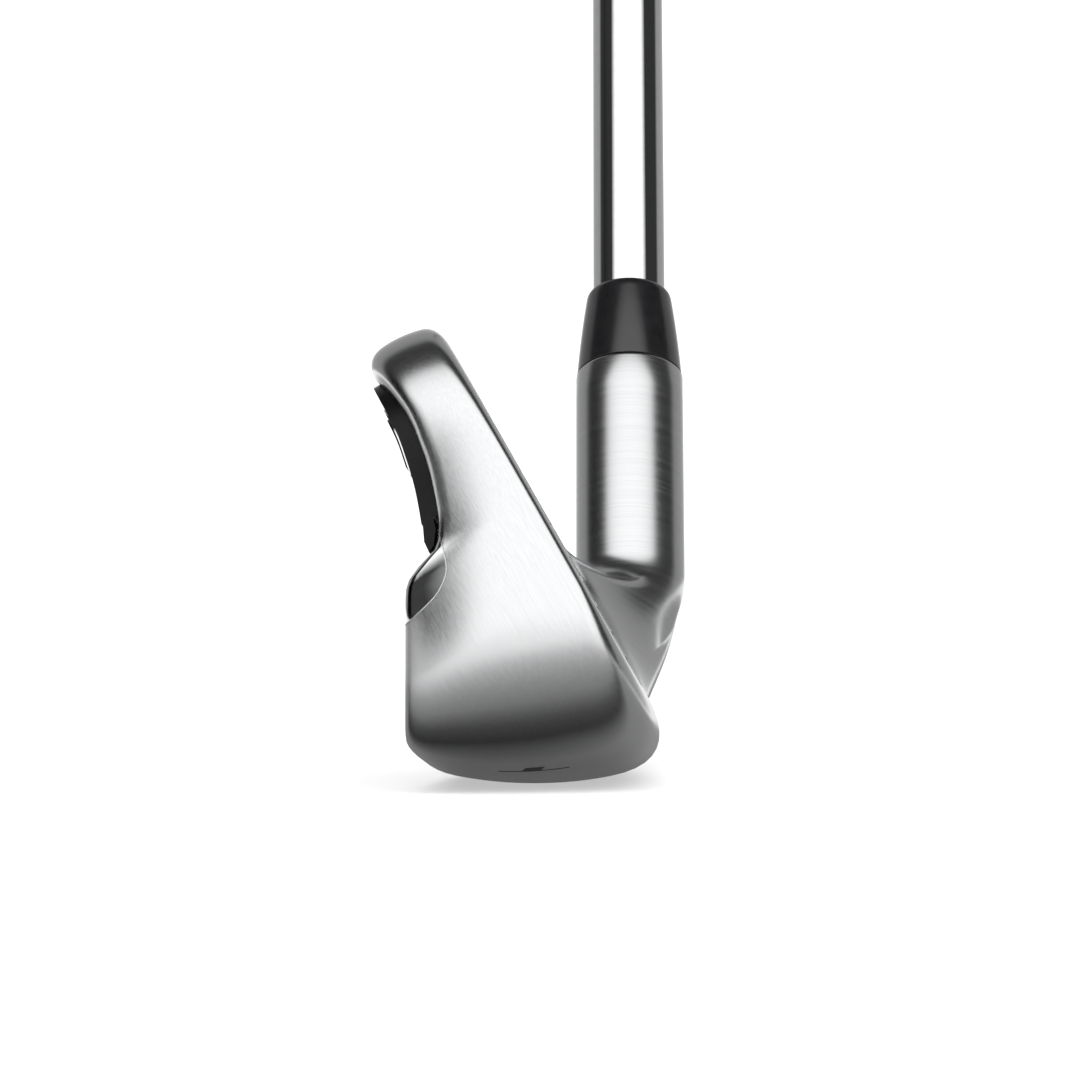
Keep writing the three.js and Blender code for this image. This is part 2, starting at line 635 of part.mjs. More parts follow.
const shaftLine = new THREE.Group();
shaftLine.applyMatrix4(shaftMatrix);
club.add(shaftLine);
add(shaftLine, 'hosel_bond', tube(SHAFT_TIP_RADIUS + SLIP, BORE_RADIUS - SLIP, SHAFT_START, HOSEL_TOP - 0.3), epoxy);
add(shaftLine, 'ferrule', ferrule(), glossBlack);
add(shaftLine, 'tip_plug', tipPlug(), brass);
add(shaftLine, 'shaft', shaft(), chrome);
add(shaftLine, 'grip_tape', tube(TAPE_INNER, TAPE_OUTER, GRIP_START + 2, SHAFT_END - 0.5), paperTape);
add(shaftLine, 'grip_sleeve', gripSleeve(), rubber);
add(shaftLine, 'grip_cap', gripCap(), rubber);

export default club;
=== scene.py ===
"""Looks of the iron golf club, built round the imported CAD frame. Geometry is worked out in millimetres."""

import math

import bmesh
import bpy
import numpy as np
from mathutils import Matrix, Vector


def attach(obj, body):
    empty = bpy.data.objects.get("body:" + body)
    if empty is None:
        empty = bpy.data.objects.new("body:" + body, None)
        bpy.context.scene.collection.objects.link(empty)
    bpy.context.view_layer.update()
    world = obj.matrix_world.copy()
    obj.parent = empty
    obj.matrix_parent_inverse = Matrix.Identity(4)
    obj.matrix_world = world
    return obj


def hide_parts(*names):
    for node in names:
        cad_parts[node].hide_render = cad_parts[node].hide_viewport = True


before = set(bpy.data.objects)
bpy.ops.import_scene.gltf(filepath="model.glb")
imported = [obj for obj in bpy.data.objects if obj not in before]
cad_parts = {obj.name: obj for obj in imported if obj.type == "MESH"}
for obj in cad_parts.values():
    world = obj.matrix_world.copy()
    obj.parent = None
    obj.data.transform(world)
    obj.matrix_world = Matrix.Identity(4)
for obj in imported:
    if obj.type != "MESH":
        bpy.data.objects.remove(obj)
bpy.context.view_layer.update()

MM = 0.001
LOFT = math.radians(29.3)
LIE = math.radians(62.5)

# Head outline in the face plane: x towards the toe, w up the face from the ground line
FACE_FOOT_Y = 19.68
TOE_X = 41.0
HEEL_X = -27.0
TOE_W = 27.0
PEAK_X = 26.0
PEAK_W = 59.9
TOPLINE_SLOPE = 0.58
TOPLINE_LEAN = 0.08
TOPLINE_CURVE = 14.0
LIP_DEPTH = 1.5
SOLE_CORNER_W = 3.25
SOLE_TILT = math.radians(2.7)
SOLE_ROCKER_RADIUS = 160.0
SOLE_TURN_X = 24.0
TOP_POWER = 2.4
SOLE_POWER = 2.4

# Rounding of the rim as (toe, topline, sole) lengths, blended by which way the outline faces
CROWN_RADIUS = (35.0, 14.0, 45.0)
FRONT_ON_WALL = (1.0, 2.0, 8.3)
FRONT_ON_FACE = (1.0, 3.0, 8.8)
REAR_ON_BACK = (1.3, 2.4, 3.2)
REAR_ON_WALL = (2.8, 4.0)          # topline and sole only; toe_rounding gives the toe's

# The toe wall fattens down the face: the value above and below a drop that starts at a height
WALL_SPAN, WALL_SPAN_W, WALL_SPAN_DROP = (8.5, 22.0), 46.0, 20.0
TOE_ROUNDING, TOE_ROUNDING_W, TOE_ROUNDING_DROP = (1.3, 3.8), 38.0, 11.0

# Back of the head: [w up the face, depth behind it], and how it tapers towards the heel
MUSCLE_DROP = 0.1
DEPTH_GAIN = 0.002
DEPTH_TAPER = 0.00006
BACK = [
    (75, 7.6), (52, 7.6), (46, 8.7), (42, 10), (40, 10.8), (37.9, 12.4), (37.3, 15),
    (36.4, 16.9), (34.9, 17.9), (24.2, 23.9), (11, 31.8),
]
LEDGE_TOP_W = 41.0
LEDGE_FOOT_W = 34.8

# Along the shaft axis from the ground
SHAFT_FOOT = np.array([-38.0, 12.7, 0.0])
HOSEL_RADIUS = 6.95
HOSEL_START = 26.5
HOSEL_TOP = 55.4
HOSEL_LIP_DEPTH = 0.3
HOSEL_LIP = ((-0.12, -0.05), (-0.03, -0.14), (0, -0.25))      # off the top, off the radius
BORE_RADIUS, BORE_FOOT, BORE_TOP = 5.02, 22.5, 60
SHAFT_TIP_RADIUS = 4.7

# Steps of the fine head surface
FRONT_STEPS = 10
WALL_STEPS = 30
REAR_STEPS = 8
FACE_STEPS = 36
BACK_STEPS = (14, 26, 22)
TOE_STATIONS = 90
BLADE_STATIONS = 40
HEEL_STEPS = 64
HOSEL_STEPS = 8
BLADE_TURN_X = 9.0                 # toe stations end and evenly spaced ones start
TOE_CROWDING = 2.3                 # power that crowds the stations towards the toe

# Steps of the shapes that cut it, and lengths too short to count
BACK_STEP = 2.0
OUTLINE_STEPS = 120
OUTLINE_SPACING = 0.6
DISC_STEPS = 48
TINY = 1e-6
MERGE = 1e-4

X_DIR = np.array([1.0, 0.0, 0.0])
Y_DIR = np.array([0.0, 1.0, 0.0])
UP = np.array([0.0, -math.sin(LOFT), math.cos(LOFT)])
BACKWARD = np.array([0.0, -math.cos(LOFT), -math.sin(LOFT)])
FOOT = np.array([0.0, FACE_FOOT_Y, 0.0])
SHAFT_AXIS = np.array([-math.cos(LIE), 0.0, math.sin(LIE)])
SHAFT_TOE = np.array([math.sin(LIE), 0.0, math.cos(LIE)])


def lerp(a, b, t):
    return a + (b - a) * t


def smoothstep(t):
    t = min(max(t, 0.0), 1.0)
    return t * t * (3 - 2 * t)


def unit(v):
    return v / np.linalg.norm(v)


def bezier(a, b, c, t):
    return a * (1 - t) ** 2 + b * 2 * t * (1 - t) + c * t * t


def place(x, w, d):
    """A point of the head from its place in the face plane and its depth behind it."""
    return FOOT + X_DIR * x + UP * w + BACKWARD * d


def corner_rise(t, power):
    """Rises from 0 to 1, slowly at first and then upright, as round the corner of a rounded box."""
    t = min(max(t, 0.0), 1.0)
    return 1 - (1 - t ** power) ** (1 / power)


def topline_height(x):
    if x > PEAK_X:
        drop = corner_rise((x - PEAK_X) / (TOE_X - PEAK_X), TOP_POWER)
        return PEAK_W - (PEAK_W - TOE_W) * drop
    start = PEAK_X - TOPLINE_CURVE
    gap = PEAK_X - max(x, start)
    curved = PEAK_W - TOPLINE_SLOPE * gap * gap / (2 * TOPLINE_CURVE)
    return curved - TOPLINE_SLOPE * max(start - x, 0)


def sole_height(x):
    rocker = SOLE_CORNER_W + x * x / (2 * SOLE_ROCKER_RADIUS)
    toe_rocker = SOLE_CORNER_W + TOE_X * TOE_X / (2 * SOLE_ROCKER_RADIUS)
    rise = corner_rise((x - SOLE_TURN_X) / (TOE_X - SOLE_TURN_X), SOLE_POWER)
    return rocker + (TOE_W - toe_rocker) * rise


def outline_height(x, side):
    return topline_height(x) if side > 0 else sole_height(x)


def outline_normal(x, side):
    """Outward unit normal (x, w) of the outline; side is 1 on the topline and -1 on the sole."""
    if x >= TOE_X:
        return 1.0, 0.0
    step = min(1e-3, (TOE_X - x) / 2)
    slope = (outline_height(x + step, side) - outline_height(x - step, side)) / (2 * step)
    length = math.hypot(1, slope)
    return -side * slope / length, side / length


def round_path(path, reach, steps):
    """The path with each inner corner rounded off over the given reach."""
    points = [np.array(p, float) for p in path]
    rounded = [points[0]]
    for before, corner, after in zip(points, points[1:], points[2:]):
        near = min(reach, np.linalg.norm(before - corner) / 2)
        far = min(reach, np.linalg.norm(after - corner) / 2)
        a = corner + unit(before - corner) * near
        b = corner + unit(after - corner) * far
        rounded += [bezier(a, corner, b, i / steps) for i in range(steps + 1)]
    rounded.append(points[-1])
    kept = rounded[:1]
    for point in rounded[1:]:
        if np.linalg.norm(point - kept[-1]) > TINY:
            kept.append(point)
    return np.array(kept)


def travelled(path):
    """Distance along a path to each of its points."""
    return np.concatenate([[0], np.cumsum(np.linalg.norm(np.diff(path, axis=0), axis=1))])


PROFILE = round_path(BACK, 2.0, 6)
PROFILE_LENGTH = travelled(PROFILE)


def tapered(w, d, x):
    """The back's profile as it is at a station: lower and shallower towards the heel."""
    run = x - TOE_X
    return w + MUSCLE_DROP * run, d * (1 - DEPTH_GAIN * run - DEPTH_TAPER * run * run)


def back_at(length, x):
    """A point of the back from its distance down the profile."""
    w = np.interp(length, PROFILE_LENGTH, PROFILE[:, 0])
    d = np.interp(length, PROFILE_LENGTH, PROFILE[:, 1])
    return place(x, *tapered(w, d, x))


def length_at_height(w, x):
    """Distance down the back's profile of a height up the face at a station."""
    untapered = w - MUSCLE_DROP * (x - TOE_X)
    return np.interp(-untapered, -PROFILE[:, 0], PROFILE_LENGTH)


def hit_back(w, ray_w, ray_d, x):
    """Where a ray from the face plane leaves through the back, and the back's direction there."""
    ws, ds = tapered(PROFILE[:, 0], PROFILE[:, 1], x)
    dw, dd = np.diff(ws), np.diff(ds)
    cross = ray_w * dd - ray_d * dw
    along = (ray_d * (ws[:-1] - w) - ray_w * ds[:-1]) / cross
    reach = ((ws[:-1] - w) * dd - ds[:-1] * dw) / cross
    i = int(np.flatnonzero((along >= 0) & (along <= 1) & (reach > 0))[0])
    length = math.hypot(dw[i], dd[i])
    return ws[i] + along[i] * dw[i], ds[i] + along[i] * dd[i], dw[i] / length, dd[i] / length


def wall_span(w):
    """Chord that sets how far the toe wall bulges at a height up the face."""
    return lerp(*WALL_SPAN, smoothstep((WALL_SPAN_W - w) / WALL_SPAN_DROP))


def toe_rounding(w):
    """How far the toe wall's back edge is rounded off at a height up the face."""
    return lerp(*TOE_ROUNDING, smoothstep((TOE_ROUNDING_W - w) / TOE_ROUNDING_DROP))


def rim_column(x, side):
    """One strip of the rim, from the face round the topline or sole to the back."""
    nx, nw = outline_normal(x, side)
    share = abs(nw)
    sole = side < 0

    def size(toe, top, bottom):
        return lerp(toe, bottom if sole else top, share)

    outward = X_DIR * nx + UP * nw
    lean = (math.tan(LOFT - SOLE_TILT) if sole else TOPLINE_LEAN) * share
    wall = unit(UP * lean + BACKWARD)
    w = outline_height(x, side)
    corner = place(x, w, 0)
    hit_w, hit_d, dir_w, dir_d = hit_back(w, wall @ UP, wall @ BACKWARD, x)
    lip = 0.0 if sole else LIP_DEPTH * share * share
    rear = place(x, hit_w, hit_d + lip)
    down_back = UP * dir_w + BACKWARD * dir_d
    inward = unit(-X_DIR * nx - down_back * nw * (UP @ down_back))
    chord = np.linalg.norm(rear - corner)
    span = lerp(wall_span(w), chord, share)
    crown = span * span / (8 * size(*CROWN_RADIUS))
    bulge = unit(np.cross(UP * side * nx - X_DIR * side * nw, wall))
    bulge = bulge if bulge @ outward > 0 else -bulge

    def on_wall(t):
        return lerp(corner, rear, t) + bulge * crown * 4 * t * (1 - t)

    def wall_slope(t):
        return wall + bulge * crown * 4 * (1 - 2 * t) / chord

    front_share = size(*FRONT_ON_WALL) / chord
    rear_share = 1 - size(toe_rounding(w), *REAR_ON_WALL) / chord
    front_end = on_wall(front_share)
    front_slope = wall_slope(front_share)
    front_depth = (front_end - FOOT) @ BACKWARD
    front_corner = front_end - front_slope * front_depth / (front_slope @ BACKWARD)
    face_end = front_corner - outward * size(*FRONT_ON_FACE)
    rear_start = on_wall(rear_share)
    rear_corner = rear_start + wall_slope(rear_share) * (1 - rear_share) * chord
    back_end = rear + inward * size(*REAR_ON_BACK)
    front = (face_end, front_corner, front_end)
    back = (rear_start, rear_corner, back_end)
    points = [bezier(*front, i / FRONT_STEPS) for i in range(FRONT_STEPS)]
    points += [on_wall(lerp(front_share, rear_share, i / WALL_STEPS)) for i in range(WALL_STEPS)]
    points += [bezier(*back, i / REAR_STEPS) for i in range(REAR_STEPS + 1)]
    if not sole:
        points.append(back_end + inward * 0.3 - BACKWARD * lip)
    return points


def face_height(point):
    return (point - FOOT) @ UP


def blade_loop(x):
    """The closed loop round the blade at a station: topline, back, sole, then up the face."""
    top = rim_column(x, 1)
    sole = rim_column(x, -1)[::-1]
    start, end = top[-1], sole[0]
    from_length = length_at_height(face_height(start), start[0])
    to_length = max(length_at_height(face_height(end), end[0]), from_length)
    breaks = [from_length]
    for w in (LEDGE_TOP_W, LEDGE_FOOT_W):
        feature = np.interp(-w, -PROFILE[:, 0], PROFILE_LENGTH)
        breaks.append(min(max(feature, from_length), to_length))
    breaks.append(to_length)
    lengths = []
    for low, high, steps in zip(breaks, breaks[1:], BACK_STEPS):
        lengths += [lerp(low, high, i / steps) for i in range(steps)]
    behind = []
    for length in lengths[1:]:
        share = (length - from_length) / max(to_length - from_length, TINY)
        behind.append(back_at(length, lerp(start[0], end[0], share)))
    if to_length - from_length < TINY:
        behind = [start.copy() for _ in behind]
    face = [lerp(sole[-1], top[0], i / FACE_STEPS) for i in range(1, FACE_STEPS)]
    loop = np.array(top + behind + sole + face)
    loop[:, 2] = np.maximum(loop[:, 2], 0)
    return loop


def hosel_ring(count, along, radius):
    """A ring round the shaft axis whose points start where a blade loop's do."""
    middle = (FRONT_STEPS + WALL_STEPS + REAR_STEPS) / 2
    angle = 2 * math.pi * (np.arange(count) - middle) / count
    around = np.outer(np.cos(angle), SHAFT_TOE) - np.outer(np.sin(angle), Y_DIR)
    return SHAFT_FOOT + SHAFT_AXIS * along + radius * around


def heel_loops():
    """Loops from the heel end of the blade round into the foot of the hosel."""
    start, before = blade_loop(HEEL_X), blade_loop(HEEL_X + 1)
    end = hosel_ring(len(start), HOSEL_START, HOSEL_RADIUS)
    reach = np.linalg.norm(end - start, axis=1)[:, None]
    leave = start - before
    leave = leave / np.linalg.norm(leave, axis=1)[:, None] * reach
    arrive = SHAFT_AXIS[None, :] * reach
    loops = []
    for step in range(1, HEEL_STEPS):
        t = step / HEEL_STEPS
        loops.append(start * (2 * t ** 3 - 3 * t ** 2 + 1) + leave * (t ** 3 - 2 * t ** 2 + t)
                     + end * (3 * t ** 2 - 2 * t ** 3) + arrive * (t ** 3 - t ** 2))
    return loops


def toe_station(t, heel_x):
    """A station between heel_x at 0 and the toe at 1."""
    return TOE_X - (TOE_X - heel_x) * (1 - t) ** TOE_CROWDING


def head_loops():
    """Every loop of the head, from the toe's tip to the hosel's rim."""
    stations = [toe_station(1 - i / TOE_STATIONS, BLADE_TURN_X) for i in range(TOE_STATIONS + 1)]
    for i in range(1, BLADE_STATIONS + 1):
        stations.append(lerp(BLADE_TURN_X, HEEL_X, i / BLADE_STATIONS))
    loops = [blade_loop(x) for x in stations] + heel_loops()
    count = len(loops[0])
    for i in range(HOSEL_STEPS + 1):
        along = lerp(HOSEL_START, HOSEL_TOP - HOSEL_LIP_DEPTH, i / HOSEL_STEPS)
        loops.append(hosel_ring(count, along, HOSEL_RADIUS))
    for along, radius in HOSEL_LIP:
        loops.append(hosel_ring(count, HOSEL_TOP + along, HOSEL_RADIUS + radius))
    return loops


# --- Meshes ---------------------------------------------------------------------------------
def mesh_object(name, points, faces):
    mesh = bpy.data.meshes.new(name)
    mesh.from_pydata([tuple(np.asarray(p) * MM) for p in points], [], faces)
    obj = bpy.data.objects.new(name, mesh)
    bpy.context.scene.collection.objects.link(obj)
    return obj


def tidy_mesh(obj):
    """Merges doubled points, fills open edges and makes the faces point out."""
    bm = bmesh.new()
    bm.from_mesh(obj.data)
    bmesh.ops.remove_doubles(bm, verts=bm.verts, dist=MERGE * MM)
    bmesh.ops.holes_fill(bm, edges=[edge for edge in bm.edges if edge.is_boundary])
    bmesh.ops.recalc_face_normals(bm, faces=bm.faces)
    bm.to_mesh(obj.data)
    bm.free()
    return obj


def smooth(obj, degrees=32):
    obj.data.shade_smooth()
    obj.data.set_sharp_from_angle(angle=math.radians(degrees))
    return obj


def skin(name, loops, cap_start=False, cap_end=True):
    """Quads between closed loops, with flat caps where asked."""
    count = len(loops[0])
    points = np.concatenate(loops)
    faces = []
    for row in range(len(loops) - 1):
        for i in range(count):
            a, b = row * count + i, row * count + (i + 1) % count
            faces.append((a, a + count, b + count, b))
    last = (len(loops) - 1) * count
    if cap_end:
        faces.append(tuple(last + i for i in reversed(range(count))))
    if cap_start:
        faces.append(tuple(range(count)))
    return tidy_mesh(mesh_object(name, points, faces))


def prism(name, lower, upper):
    """A closed solid between two matching outlines."""
    return skin(name, [np.array(lower), np.array(upper)], cap_start=True)


def face_prism(name, outline, from_depth, to_depth):
    """A solid with an (x, w) outline run square to the face between two depths."""
    ends = [[place(x, w, depth) for x, w in outline] for depth in (from_depth, to_depth)]
    return prism(name, *ends)


def back_prism(name, profile, from_x, to_x):
    """A solid with a (w, d) profile run along the tapering back."""
    stations = np.linspace(from_x, to_x, math.ceil((to_x - from_x) / BACK_STEP) + 1)
    loops = [[place(x, *tapered(w, d, x)) for w, d in profile] for x in stations]
    return skin(name, [np.array(loop) for loop in loops], cap_start=True)


def inset_outline(at_toe, at_top, at_sole, heel_x):
    """The head's outline drawn in by different distances at the toe, the topline and the sole."""
    def side(sign):
        points = []
        for i in range(OUTLINE_STEPS + 1):
            x = toe_station(i / OUTLINE_STEPS, heel_x)
            nx, nw = outline_normal(x, sign)
            inset = lerp(at_toe, at_top if sign > 0 else at_sole, abs(nw))
            points.append((x - nx * inset, outline_height(x, sign) - nw * inset))
        return points

    path = np.array(side(-1) + side(1)[::-1][1:])
    along = travelled(path)
    even = np.linspace(0, along[-1], round(along[-1] / OUTLINE_SPACING) + 1)
    return list(zip(np.interp(even, along, path[:, 0]), np.interp(even, along, path[:, 1])))


def offset_path(path, distance):
    """Moves a (w, d) path sideways; a positive distance moves it away from the back."""
    moved = []
    for i, (w, d) in enumerate(path):
        w0, d0 = path[max(i - 1, 0)]
        w1, d1 = path[min(i + 1, len(path) - 1)]
        length = math.hypot(w1 - w0, d1 - d0)
        moved.append((w - distance * (d1 - d0) / length, d + distance * (w1 - w0) / length))
    return moved


def combine(obj, other, operation):
    """Cuts, joins or crosses obj with other, and removes other."""
    modifier = obj.modifiers.new(operation, "BOOLEAN")
    modifier.operation = operation
    modifier.solver = "EXACT"
    modifier.object = other
    evaluated = obj.evaluated_get(bpy.context.evaluated_depsgraph_get())
    mesh = bpy.data.meshes.new_from_object(evaluated)
    obj.modifiers.clear()
    obj.data = mesh
    bpy.data.objects.remove(other)
    return obj


def cut(obj, *others):
    for other in others:
        combine(obj, other, "DIFFERENCE")
    return obj


def crossed(obj, other):
    return combine(obj, other, "INTERSECT")


def circle_angles(segments):
    return 2 * math.pi * np.arange(segments) / segments


def circle_directions(segments):
    """Unit directions round the shaft axis."""
    angle = circle_angles(segments)
    return np.outer(np.cos(angle), SHAFT_TOE) + np.outer(np.sin(angle), Y_DIR)


def turned(name, profile, segments=96):
    """A solid turned on the shaft axis from a closed profile of (radius, distance along) pairs."""
    around = circle_directions(segments)
    loops = []
    for radius, along in profile + profile[:1]:
        loops.append(SHAFT_FOOT + SHAFT_AXIS * along + radius * around)
    return skin(name, loops, cap_end=False)


# --- Pieces ---------------------------------------------------------------------------------
FIT = 0.3
HEAD_SPAN = (-32, 48)              # x from past the back's heel end to past the toe
THROUGH = (-5, 60)                 # depths from before the face to behind the back

PLATE_THICKNESS = 2.4
PLATE_INSET = (3.0, 3.6, 9.4)
PLATE_HEEL_X = -27.0
GROOVE_FOOT_W, GROOVE_PITCH, GROOVE_COUNT = 12.7, 3.55, 12
GROOVE_WIDTH, GROOVE_DEPTH = 0.8, 0.45
GROOVE_HEEL_X, GROOVE_TOE_X, GROOVE_MARGIN = -24.5, 25.0, 5.5

RIM_INSET = 6
HOLLOW_HEEL_X, WINDOW_HEEL_X = -28, -15
HOLLOW_SPAN = (-24, 23)
HOLLOW_FLOOR_Z = 3.6
WINDOW_FOOT_W = 44.5
WEIGHT_PLACE, WEIGHT_RADIUS, WEIGHT_DEPTHS = (30.2, 26), 5.1, (1, 15.8)

BADGE_INSET = (2.0, 2.5)
BADGE_HEEL_X = -18.0
BADGE_FOOT_W = 41.2
BADGE_DEPTH, BADGE_PROUD = 1.2, 2.1
SEAT_TOP = 9
TAPE_GAP, TAPE_THICKNESS = 0.15, 0.5
INLAY_INSET, INLAY_FOOT_W, INLAY_WIDTH = (4.6, 5.2), 47.3, 1.0
INLAY_PROUD, INLAY_THICKNESS = 0.22, 0.7
PANEL_PROUD, PANEL_GAP = 0.45, 0.2

PLATE_BED = round_path([
    (40.2, 10.9), (38.7, 11.2), (35.8, 12), (34.7, 12.7),
    (33.4, 14.5), (32.8, 16.7), (32.4, 18.6), (32.2, 22),
], 1.2, 5).tolist()
MUSCLE_HEEL_X = -16.0
BOND_TOE_X, BOND_DEPTH, BOND_TRIM = 24.3, 0.7, 6
SEAM = 0.14
SEAM_GAP = 0.01

MARK_X = 30.3
MARK_DASH = [(0.4, -0.2), (1.4, 0.2), (1.4, 2.3), (0.4, 1.9)]
MARK_LINE = [(0.0, -2.9), (0.14, -2.9), (0.14, 5.1), (0.0, 5.1)]
MARK_HEIGHTS = (0.5, 5.0)
PAINT_SHIFT = (0.02, 0, -0.03)

FERRULE_FOOT = HOSEL_TOP + 0.15
FERRULE_TOP = FERRULE_FOOT + 12
FERRULE_EDGE = 0.08
FERRULE_BORE = SHAFT_TIP_RADIUS + 0.06
FERRULE_RADII = (6.83, 5.6)
FERRULE_BULGE = 0.1
FERRULE_STEPS = 24

SHAFT_BUTT_RADIUS = 7.62
SHAFT_WALL = 0.45
SHAFT_START, SHAFT_END = 24, 932
STEP_START, STEP_LENGTH, STEP_COUNT = 265, 44.45, 9
STEP_RAMP, STEP_RAMP_RINGS = 0.8, 6

GRIP_START, GRIP_TOP, CLUB_LENGTH = 668, 933.7, 940
GRIP_CORE = SHAFT_BUTT_RADIUS + 0.37
GRIP_ALONG = [GRIP_START + 0.6, GRIP_START + 100, GRIP_TOP - 40, GRIP_TOP]
GRIP_RADII = [9.8, 10.7, 12.3, 13.2]
GRIP_MOUTH_RADIUS, GRIP_END_RADIUS = 9.2, 13.1
GRIP_RING_STEP = 0.8
GRIP_RIB_PITCH, GRIP_RIB_DEPTH, GRIP_RIB_TURNS = 3.2, 0.28, 6
GRIP_SEGMENTS = 96

CAP_RADIUS, CAP_ROUNDING, CAP_VENT_RADIUS = 13.5, 2.4, 1.25
CAP_STEPS = 12


def box(name, low, high):
    """A closed box between two corners in millimetres."""
    (x0, y0, z0), (x1, y1, z1) = low, high
    ring = [(x0, y0), (x1, y0), (x1, y1), (x0, y1)]
    return prism(name, [(x, y, z0) for x, y in ring], [(x, y, z1) for x, y in ring])


def joined(name, objects):
    """One mesh of several separate solids."""
    bm = bmesh.new()
    for obj in objects:
        bm.from_mesh(obj.data)
        bpy.data.objects.remove(obj)
    mesh = bpy.data.meshes.new(name)
    bm.to_mesh(mesh)
    bm.free()
    obj = bpy.data.objects.new(name, mesh)
    bpy.context.scene.collection.objects.link(obj)
    return obj


def copy_of(obj, name):
    other = bpy.data.objects.new(name, obj.data.copy())
    bpy.context.scene.collection.objects.link(other)
    return other


def upper_depth(w):
    """Depth of the upper back at a height up the face, before it tapers."""
    return float(np.interp(-w, -PROFILE[:, 0], PROFILE[:, 1]))


def back_layer(name, low, high, inset, foot_w):
    """A layer over the upper back between two heights above it, inside an inset outline."""
    heights = np.linspace(70, foot_w, 24)
    under = [(w, upper_depth(w) + low) for w in heights]
    over = [(w, upper_depth(w) + high) for w in heights[::-1]]
    layer = back_prism(name, under + over, *HEAD_SPAN)
    at_toe, at_rim = inset
    heel_x = BADGE_HEEL_X + at_toe - BADGE_INSET[0]
    outline = inset_outline(at_toe, at_rim, at_rim, heel_x)
    return crossed(layer, face_prism("outline", outline, *THROUGH))


def inlay_band(name, gap, low, high):
    """The band of the badge's bright line, widened by a gap on both sides."""
    outer_inset = tuple(value - gap for value in INLAY_INSET)
    inner_inset = tuple(value + INLAY_WIDTH + gap for value in INLAY_INSET)
    outer = back_layer(name, low, high, outer_inset, INLAY_FOOT_W - gap)
    hole = back_layer("hole", -5, SEAT_TOP, inner_inset, INLAY_FOOT_W + INLAY_WIDTH + gap)
    return cut(outer, hole)


def muscle_region(name, offset, heel_x):
    """Everything behind the muscle plate's bed, out to past the head."""
    bed = offset_path(PLATE_BED, offset)
    behind = [(33.5, 26), (43, 26), (43, 10.9 - offset)]
    return back_prism(name, bed + behind, heel_x, HEAD_SPAN[1])


def bed_band(name, near, far, from_x, to_x, trim=0):
    """The space between two offsets of the muscle plate's bed."""
    path = PLATE_BED[trim:len(PLATE_BED) - trim]
    return back_prism(name, offset_path(path, near) + offset_path(path, far)[::-1], from_x, to_x)


def hollow():
    """The space behind the face plate, kept clear of the sole and the topline."""
    profile = [
        (10.5, 2), (47, 2), (47, 6.2), (44.5, 6.2), (38.5, 8.8), (35, 10),
        (32, 11.5), (30.5, 14), (29.5, 18), (24, 21.5), (17, 23.5), (8, 12),
    ]
    space = back_prism("hollow", profile, *HOLLOW_SPAN)
    crossed(space, face_prism("rim", rim_outline(HOLLOW_HEEL_X), *THROUGH))
    return crossed(space, box("above", (-90, -90, HOLLOW_FLOOR_Z), (90, 90, 90)))


def rim_outline(heel_x):
    return inset_outline(RIM_INSET, RIM_INSET, RIM_INSET, heel_x)


def window():
    """The opening in the upper back that the badge covers."""
    section = [(WINDOW_FOOT_W, -5), (90, -5), (90, 40), (WINDOW_FOOT_W, 40)]
    through = back_prism("window", section, *HEAD_SPAN)
    return crossed(through, face_prism("rim", rim_outline(WINDOW_HEEL_X), -5, 40))


def disc(x, w, radius):
    """A round (x, w) outline."""
    angle = circle_angles(DISC_STEPS)
    return list(zip(x + radius * np.cos(angle), w + radius * np.sin(angle)))


def sole_mark(blank):
    """A plain slanted dash over a hairline, as a thin layer of paint on the sole."""
    solids = []
    for outline in (MARK_DASH, MARK_LINE):
        ends = [[(MARK_X + x, y, z) for x, y in outline] for z in MARK_HEIGHTS]
        solids.append(prism("shape", *ends))
    layer = copy_of(blank, "layer")
    layer.data.transform(Matrix.Translation(Vector(PAINT_SHIFT) * MM))
    return cut(crossed(joined("mark", solids), layer), copy_of(blank, "under"))


def face_plate():
    """The striking plate with its grooves, which stop short of the falling topline."""
    outline = inset_outline(*PLATE_INSET, PLATE_HEEL_X)
    plate = face_prism("face", outline, 0, PLATE_THICKNESS)
    grooves = []
    for i in range(GROOVE_COUNT):
        w = GROOVE_FOOT_W + i * GROOVE_PITCH
        topline_x = PEAK_X - TOPLINE_CURVE / 2 - (PEAK_W - GROOVE_MARGIN - w) / TOPLINE_SLOPE
        heel_x = max(GROOVE_HEEL_X, topline_x)
        edge, floor = GROOVE_WIDTH / 2, GROOVE_WIDTH / 4
        section = [
            (-edge, -0.5), (edge, -0.5), (edge, 0.0),
            (floor, GROOVE_DEPTH), (-floor, GROOVE_DEPTH), (-edge, 0.0),
        ]
        ends = [[place(x, w + off, d) for off, d in section] for x in (heel_x, GROOVE_TOE_X)]
        grooves.append(prism("groove", *ends))
    return smooth(cut(plate, joined("grooves", grooves)))


